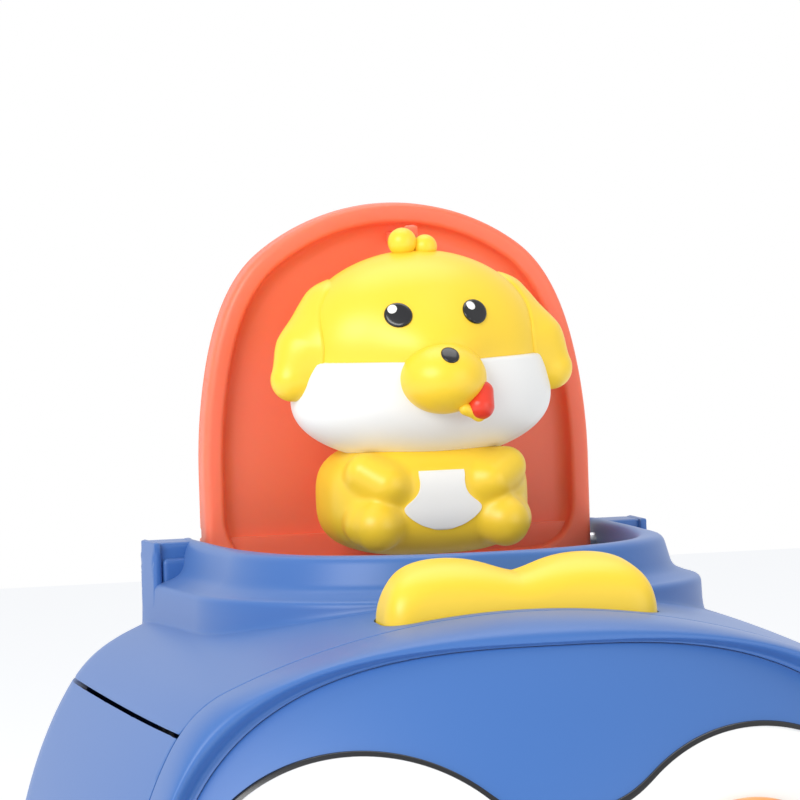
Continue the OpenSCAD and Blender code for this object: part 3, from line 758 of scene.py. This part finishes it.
def lid():
    """Tray, heel at the hinge, catch with its barb, and cover."""
    tray = lid_tray()
    arc = [(HINGE_Y + HINGE_R * math.cos(t), HINGE_Z + HINGE_R * math.sin(t))
           for t in np.linspace(-math.pi / 2, 0, 12)]
    step = HINGE_Z + HINGE_R
    heel = extrude_x("lid_heel", arc + [(39.9, step), (36.2, step), (36.2, HINGE_Z)], -28.3, 28.3, 0.3)
    catch = [
        grown("catch", lambda p: block_at(p, (-0.2, 25, 165.1), (1.4, 37.5, 166.6), 0.35),
              (0.6, 31, 165.85), 12, 64, 60),
        grown("barb", lambda p: block_at(p, (-0.2, 25, 165.3), (1.4, 27, 168), 0.35),
              (0.6, 26, 166.6), 8, 64, 40),
    ]
    place(tray, "coral_plastic", "lid", "lid_tray")
    place(heel, "coral_plastic", "lid")
    place(join("lid_catch", catch), "coral_plastic", "lid")
    place(lid_cover(), "coral_plastic", "lid", "lid_cover")


# Puppy. The figure faces the front, and its middle lies at X 0.
SNOUT = (0, 8.5, 147.2)


def skull(p):
    """Egg-shaped head with a bridge towards the nose."""
    dome = egg_at(p, (0, 22.6, 150.6), (18.0, 13.3, 14.1))
    bridge = egg_at(p, (0, 13.0, 150.6), (5.6, 5.4, 4.6))
    return blend(dome, bridge, 5)


def jowls(p):
    """Round cheeks below the skull."""
    wide = egg_at(p, (0, 21.2, 143.2), (18.5, 12.2, 8.4))
    return blend(wide, egg_at(p, (0, 21, 146.5), (17.8, 12.6, 9)), 3)


def muzzle(p):
    """White skin over the jowls and the skull, up to a level edge."""
    return meet(blend(jowls(p), skull(p) - 0.05, 2) - 0.12, p[:, 2] - 149.7, 0.5)


def front_y(field, x, z):
    """Y of a form's front surface at the given place."""
    start = np.array([[x, 22.0, z]])
    return 22.0 - float(solve_out(field, start, np.array([[0.0, -1.0, 0.0]]), 30)[0])


def nose_ball(p):
    """The round snout below the nose."""
    return egg_at(p, SNOUT, (6.2, 6.3, 5.1))


def trunk(p):
    """Blocky body with soft corners."""
    q = (p - np.array([0, 22.4, 129.7])) / np.array([14.6, 12.0, 8.2])
    return ((np.abs(q) ** 3.0).sum(-1) ** (1 / 3.0) - 1) * 9


def body_field(p):
    """The trunk with both arms and both feet: one side is made and mirrored."""
    q = np.concatenate([np.abs(p[:, :1]), p[:, 1:]], -1)
    arm = rod_at(q, (10.4, 14.0, 134.0), (7.7, 12.4, 132.1), 2.7, 3.1)
    leg = rod_at(q, (10.4, 13.6, 126.5), (9.4, 12.0, 126.3), 3.2, 3.6)
    return blend(blend(trunk(p), arm, 1.2), leg, 1.2)


def ears():
    """Hanging ears, each with a fillet where it leaves the skull."""
    made = []
    for s in (-1, 1):
        def flap(p, s=s):
            top = rod_at(p, (s * 13.6, 23, 157.3), (s * 17.2, 20.8, 151.2), 2.3, 3.4)
            tip = rod_at(p, (s * 17.2, 20.8, 151.2), (s * 19.0, 20.2, 147.2), 3.4, 3.1)
            bare = blend(top, tip, 2)
            return np.maximum(blend(bare, skull(p) + 0.06, 3.5), bare - 1.6)
        made.append(grown("ear", flap, (s * 17.2, 21.2, 151.2), 12, 128, 100))
    return join("puppy_ears", made)


def belly_patch():
    """White patch on the tummy: narrow between the hands, wide below them."""
    foot_z, start_y, proud, sunk = 125.4, 22.0, 0.16, 0.3
    heights = np.array([0.0, 0.35, 1.0, 2.0, 3.1, 3.8, 4.6, 5.6, 7.0, 8.1, 8.7])
    widths = np.array([0.05, 2.1, 3.5, 5.0, 5.9, 5.5, 4.3, 3.5, 3.25, 3.45, 3.3])
    z = np.linspace(0, heights[-1], 40)
    w = np.interp(z, heights, widths)
    w = np.convolve(np.pad(w, 2, "edge"), np.ones(5) / 5, "valid")
    w[0] = 0.05
    u = np.concatenate([[-1.0], np.linspace(-0.985, 0.985, 31), [1.0]])
    x = w[:, None] * u
    flat = np.stack([x, np.full_like(x, start_y), np.broadcast_to(z[:, None] + foot_z, x.shape)], -1)
    flat = flat.reshape(-1, 3)
    front = start_y - solve_out(body_field, flat, np.tile([0.0, -1.0, 0.0], (len(flat), 1)), 20)
    shape = x.shape
    y = front.reshape(shape) - proud
    for border in (np.s_[:, 0], np.s_[:, -1], np.s_[0], np.s_[-1]):
        y[border] += sunk
    outer = np.stack([x, y, np.broadcast_to(z[:, None] + foot_z, shape)], -1)
    inner = outer + np.array([0, 0.8, 0])
    verts = np.concatenate([outer.reshape(-1, 3), inner.reshape(-1, 3)])
    rows, cols = shape
    faces = grid_faces(rows, cols, False, False)
    size = rows * cols
    faces += [[size + i for i in f[::-1]] for f in grid_faces(rows, cols, False, False)]
    rim = ([j for j in range(cols)] + [i * cols + cols - 1 for i in range(1, rows)]
           + [(rows - 1) * cols + j for j in range(cols - 2, -1, -1)]
           + [i * cols for i in range(rows - 2, 0, -1)])
    for k, a in enumerate(rim):
        b = rim[(k + 1) % len(rim)]
        faces.append([b, a, size + a, size + b])
    return new_object("puppy_belly_patch", verts, faces, 60)


def puppy():
    """The figure on the lid's inner face, from the head down."""
    head = grown("puppy_head", skull, (0, 22, 150.5), 24, 260, 150)
    tuft = []
    for curl, r in (((-1.7, 22.3, 165.9), 2.05), ((1.6, 22.3, 165.1), 1.75)):
        tuft.append(grown("tuft", lambda p, c=curl, r=r: ball_at(p, c, r), curl, 4, 60, 40))
    neck = grown("neck", lambda p: block_at(p, (-4, 30, 146), (4, 37.2, 154), 1),
                 (0, 33.5, 150), 10, 60, 40)
    place(head, "yellow_plastic", "lid", "puppy_head")
    place(join("puppy_tuft", tuft), "yellow_plastic", "lid")
    place(neck, "yellow_plastic", "lid")
    place(ears(), "yellow_plastic", "lid", "puppy_ears")
    place(grown("puppy_muzzle", muzzle, (0, 21, 143), 24, 320, 190, 50),
          "white_plastic", "lid", "puppy_muzzle")
    place(grown("puppy_snout", nose_ball, SNOUT, 9, 120, 80),
          "yellow_plastic", "lid", "puppy_snout")

    def nose(p):
        oval = egg_at(p, (0, 4.6, 150.5), (1.35, 2.2, 1.35))
        return meet(oval, nose_ball(p) - 0.22, 0.2)

    def tongue(p):
        return rod_at(p, (5.1, 6.2, 145.1), (4.6, 5.4, 143.2), 1.6, 1.95)

    def lip(p):
        under = rod_at(p, (2.2, 5.1, 142.9), (4.3, 5.5, 141.9), 0.9, 0.8)
        side = rod_at(p, (4.3, 5.5, 141.9), (5.8, 6.7, 143.0), 0.8, 0.5)
        return blend(under, side, 0.6)

    place(grown("puppy_nose", nose, (0, 3.9, 150.5), 4, 60, 40), "black_plastic", "lid", "puppy_nose")
    place(grown("puppy_tongue", tongue, (4.85, 5.8, 144.1), 4, 70, 50),
          "red_plastic", "lid", "puppy_tongue")
    place(grown("puppy_lip", lip, (4.2, 5.5, 142.1), 5, 70, 50), "yellow_plastic", "lid")
    eyes, glints = [], []
    for eye_x in (-5.6, 5.6):
        middle = (eye_x, 11.0, 156.25)
        spot_x, spot_z = eye_x - 0.65, 156.95
        spot = (spot_x, front_y(skull, spot_x, spot_z), spot_z)

        def eye(p, middle=middle):
            return meet(egg_at(p, middle, (1.95, 3.2, 1.8)), skull(p) - 0.35, 0.4)

        def glint(p, spot=spot):
            return meet(ball_at(p, spot, 0.78), skull(p) - 0.42, 0.1)
        eyes.append(grown("eye", eye, middle, 4, 70, 50))
        glints.append(grown("glint", glint, spot, 3, 40, 26))
    place(join("puppy_eyes", eyes), "black_plastic", "lid", "puppy_eyes")
    place(join("puppy_eye_glints", glints), "white_plastic", "lid")
    place(grown("puppy_body", body_field, (0, 22, 129.8), 24, 320, 190),
          "yellow_plastic", "lid", "puppy_body")
    place(belly_patch(), "white_plastic", "lid", "puppy_belly_patch")


def button():
    """Two humps with a soft saddle, rolled down towards the front."""
    def field(p):
        flat = np.stack([np.abs(p[:, 0]), p[:, 2]], -1)
        hump = ball_at(flat, (HUMP_X, HUMP_Z), HUMP_R)
        saddle = np.maximum(flat[:, 0] - HUMP_X, flat[:, 1] - 122.0)
        base = np.maximum(flat[:, 0] - BUTTON_HALF_X, flat[:, 1] - HUMP_Z)
        outline = blend(np.minimum(hump, base), saddle, 3.5)
        depth = np.abs(p[:, 1] - BUTTON_Y) - BUTTON_HALF_Y
        roll = np.hypot(p[:, 1] + 21.5, p[:, 2] - 109.3) - 16
        body = meet(meet(outline, depth, 4.0), roll, 3.0)
        return meet(body, BUTTON_FOOT_Z - p[:, 2], 0.5)

    made = grown("button", field, (0, BUTTON_Y, 113), 30, 420, 220)
    place(made, "yellow_plastic", "button", "button")


def coil(name, centre, axis, r, wire, length, turns):
    """A round wire wound round an axis, as one closed tube."""
    steps, sides = int(turns * 28), 10
    along = Vector(axis)
    side = along.orthogonal().normalized()
    other = along.cross(side)
    verts = []
    for i in range(steps + 1):
        t = i / steps
        turn = 2 * math.pi * turns * t
        out = side * math.cos(turn) + other * math.sin(turn)
        middle = Vector(centre) + along * (length * t) + out * r
        for k in range(sides):
            a = 2 * math.pi * k / sides
            verts.append(tuple(middle + out * (wire * math.cos(a)) + along * (wire * math.sin(a))))
    faces = grid_faces(steps + 1, sides)
    faces += [list(range(sides)), list(range(steps * sides, (steps + 1) * sides))[::-1]]
    return new_object(name, verts, faces)


def springs():
    """Two springs that the button presses on, and one round each hinge pin."""
    pair = [coil("coil", (s * 11, BUTTON_Y, 99.4), (0, 0, 1), r=2.65, wire=0.32, length=20.2, turns=8)
            for s in (-1, 1)]
    press = place(join("button_springs", pair), "spring_steel", "ball", "button_springs")
    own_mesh(press)
    pair = [coil("coil", (s * 32.75 - 1.7, HINGE_Y, HINGE_Z), (1, 0, 0), r=1.46, wire=0.22,
                 length=3.4, turns=6) for s in (-1, 1)]
    place(join("lid_springs", pair), "spring_steel", "ball", "lid_springs")


def round_cover(name, axis, sign):
    """A round cover that follows the ball's side or back and stands a little proud of it."""
    count, r, lift, edge = 140, COVER_R, 0.6, 0.9
    theta = np.linspace(0, 2 * math.pi, count, endpoint=False)
    rows = [(share * (r - edge), lift) for share in np.linspace(0.02, 1, 24)]
    rows += [(r - edge + edge * math.sin(t), lift - edge * (1 - math.cos(t)))
             for t in np.linspace(0, math.pi / 2, 6)[1:]]
    rows.append((r, lift - 4))
    verts = []
    for away, up in rows:
        a, z = away * np.cos(theta), COVER_Z + away * np.sin(theta) - MID_Z
        if axis == "x":
            y = 3 + a
            out = reach_out(0.0, y, z, (sign, 0, 0))
            verts.append(np.stack([sign * (out + up), y, z + MID_Z], -1))
        else:
            out = reach_out(a, 0.0, z, (0, 1, 0))
            verts.append(np.stack([a, out + up, z + MID_Z], -1))
    faces = grid_faces(len(rows), count)
    faces.append(list(range(count)))
    last = (len(rows) - 1) * count
    faces.append(list(range(last, last + count))[::-1])
    place(new_object(name, np.concatenate(verts), faces), "yellow_plastic", "ball", name)


def underside():
    """The flat ring between the lower shell and the base plate."""
    count, top_z = 180, 3.4
    theta = np.linspace(0, 2 * math.pi, count, endpoint=False)
    start = np.tile([0.0, 0.0, REST_Z - MID_Z], (count, 1))
    dirs = np.stack([np.cos(theta), np.sin(theta), np.zeros(count)], -1)
    shell = solve_out(ball_field, start, dirs, BALL_REACH) - 0.4
    inner = np.full_like(theta, 34.2)
    rows = [(inner, top_z), (inner, REST_Z + 0.3), (inner + 0.3, REST_Z), (shell, REST_Z), (shell, top_z)]
    verts = np.concatenate([np.stack([r * np.cos(theta), r * np.sin(theta), np.full_like(r, z)], -1)
                            for r, z in rows])
    ring = new_object("underside_ring", verts, grid_faces(len(rows), count, True, True))
    place(ring, "blue_plastic", "ball")


top_shell()
hinge_posts()
lower_shell()
front_bezel()
face()
lid()
puppy()
button()
springs()
round_cover("side_cover_left", "x", 1)
round_cover("side_cover_right", "x", -1)
round_cover("rear_cover", "y", 1)
underside()


def camera():
    """A long lens that looks along the photograph's viewing direction, from far away."""
    right = Vector((0.9659, -0.2569, -0.0315)).normalized()
    up = Vector((0.0472, 0.0549, 0.9974))
    back = right.cross(up).normalized()
    up = back.cross(right)
    aim = Vector((0, 35, 124)) + up * 18.57
    away = 3000
    data = bpy.data.cameras.new("camera")
    data.sensor_width = 36
    data.lens = 945
    data.clip_end = 100
    obj = bpy.data.objects.new("camera", data)
    bpy.context.scene.collection.objects.link(obj)
    turn = Matrix((right, up, back)).transposed().to_4x4()
    obj.matrix_world = Matrix.Translation((aim + back * away) * MM) @ turn
    bpy.context.scene.camera = obj


def area_light(name, position, target, size, power):
    """A soft rectangular light that faces its target."""
    data = bpy.data.lights.new(name, "AREA")
    data.shape = "RECTANGLE"
    data.size, data.size_y = size
    data.energy = power
    obj = bpy.data.objects.new(name, data)
    bpy.context.scene.collection.objects.link(obj)
    obj.location = position
    aim = Vector(target) - Vector(position)
    obj.rotation_euler = aim.to_track_quat("-Z", "Y").to_euler()


def stage():
    """White floor and surroundings, and three lights."""
    size, low = 1.6, -0.0002
    floor_mat = bpy.data.materials.new("floor")
    floor_mat.use_nodes = True
    shader = floor_mat.node_tree.nodes["Principled BSDF"]
    shader.inputs["Base Color"].default_value = (0.92, 0.92, 0.92, 1)
    shader.inputs["Roughness"].default_value = 0.9
    shader.inputs["Specular IOR Level"].default_value = 0.0
    shader.inputs["Emission Color"].default_value = (1, 1, 1, 1)
    shader.inputs["Emission Strength"].default_value = 0.45
    mesh = bpy.data.meshes.new("floor")
    mesh.from_pydata([(-size, -size, low), (size, -size, low), (size, size, low), (-size, size, low)],
                     [], [(0, 1, 2, 3)])
    floor = bpy.data.objects.new("floor", mesh)
    bpy.context.scene.collection.objects.link(floor)
    mesh.materials.append(floor_mat)
    world = bpy.data.worlds.new("studio")
    bpy.context.scene.world = world
    world.use_nodes = True
    nodes, links = world.node_tree.nodes, world.node_tree.links
    soft = nodes["Background"]
    soft.inputs["Color"].default_value = (0.92, 0.95, 1.0, 1)
    soft.inputs["Strength"].default_value = 0.5
    white = nodes.new("ShaderNodeBackground")
    white.inputs["Color"].default_value = (1, 1, 1, 1)
    white.inputs["Strength"].default_value = 1.0
    path = nodes.new("ShaderNodeLightPath")
    mix = nodes.new("ShaderNodeMixShader")
    seen = nodes.new("ShaderNodeMath")
    seen.operation = "MAXIMUM"
    links.new(path.outputs["Is Camera Ray"], seen.inputs[0])
    links.new(path.outputs["Is Glossy Ray"], seen.inputs[1])
    links.new(seen.outputs["Value"], mix.inputs["Fac"])
    links.new(soft.outputs["Background"], mix.inputs[1])
    links.new(white.outputs["Background"], mix.inputs[2])
    links.new(mix.outputs["Shader"], nodes["World Output"].inputs["Surface"])
    middle = (0, 0, 0.11)
    area_light("key", (-0.8, -0.65, 0.7), middle, (0.7, 0.5), 8.8)
    area_light("fill", (0.6, -0.9, 0.4), middle, (0.7, 0.7), 2.3)
    area_light("top", (0.05, 0.25, 1.0), middle, (0.8, 0.6), 3.3)
    scene = bpy.context.scene
    scene.view_settings.view_transform = "Standard"


def paint_cad():
    """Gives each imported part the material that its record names."""
    slots = {row["node"]: row["material_slot"] for row in frame["record"]["subparts"]}
    for node, obj in frame["nodes"].items():
        obj.data.materials.clear()
        obj.data.materials.append(MATS[slots[node]])


paint_cad()
camera()
stage()
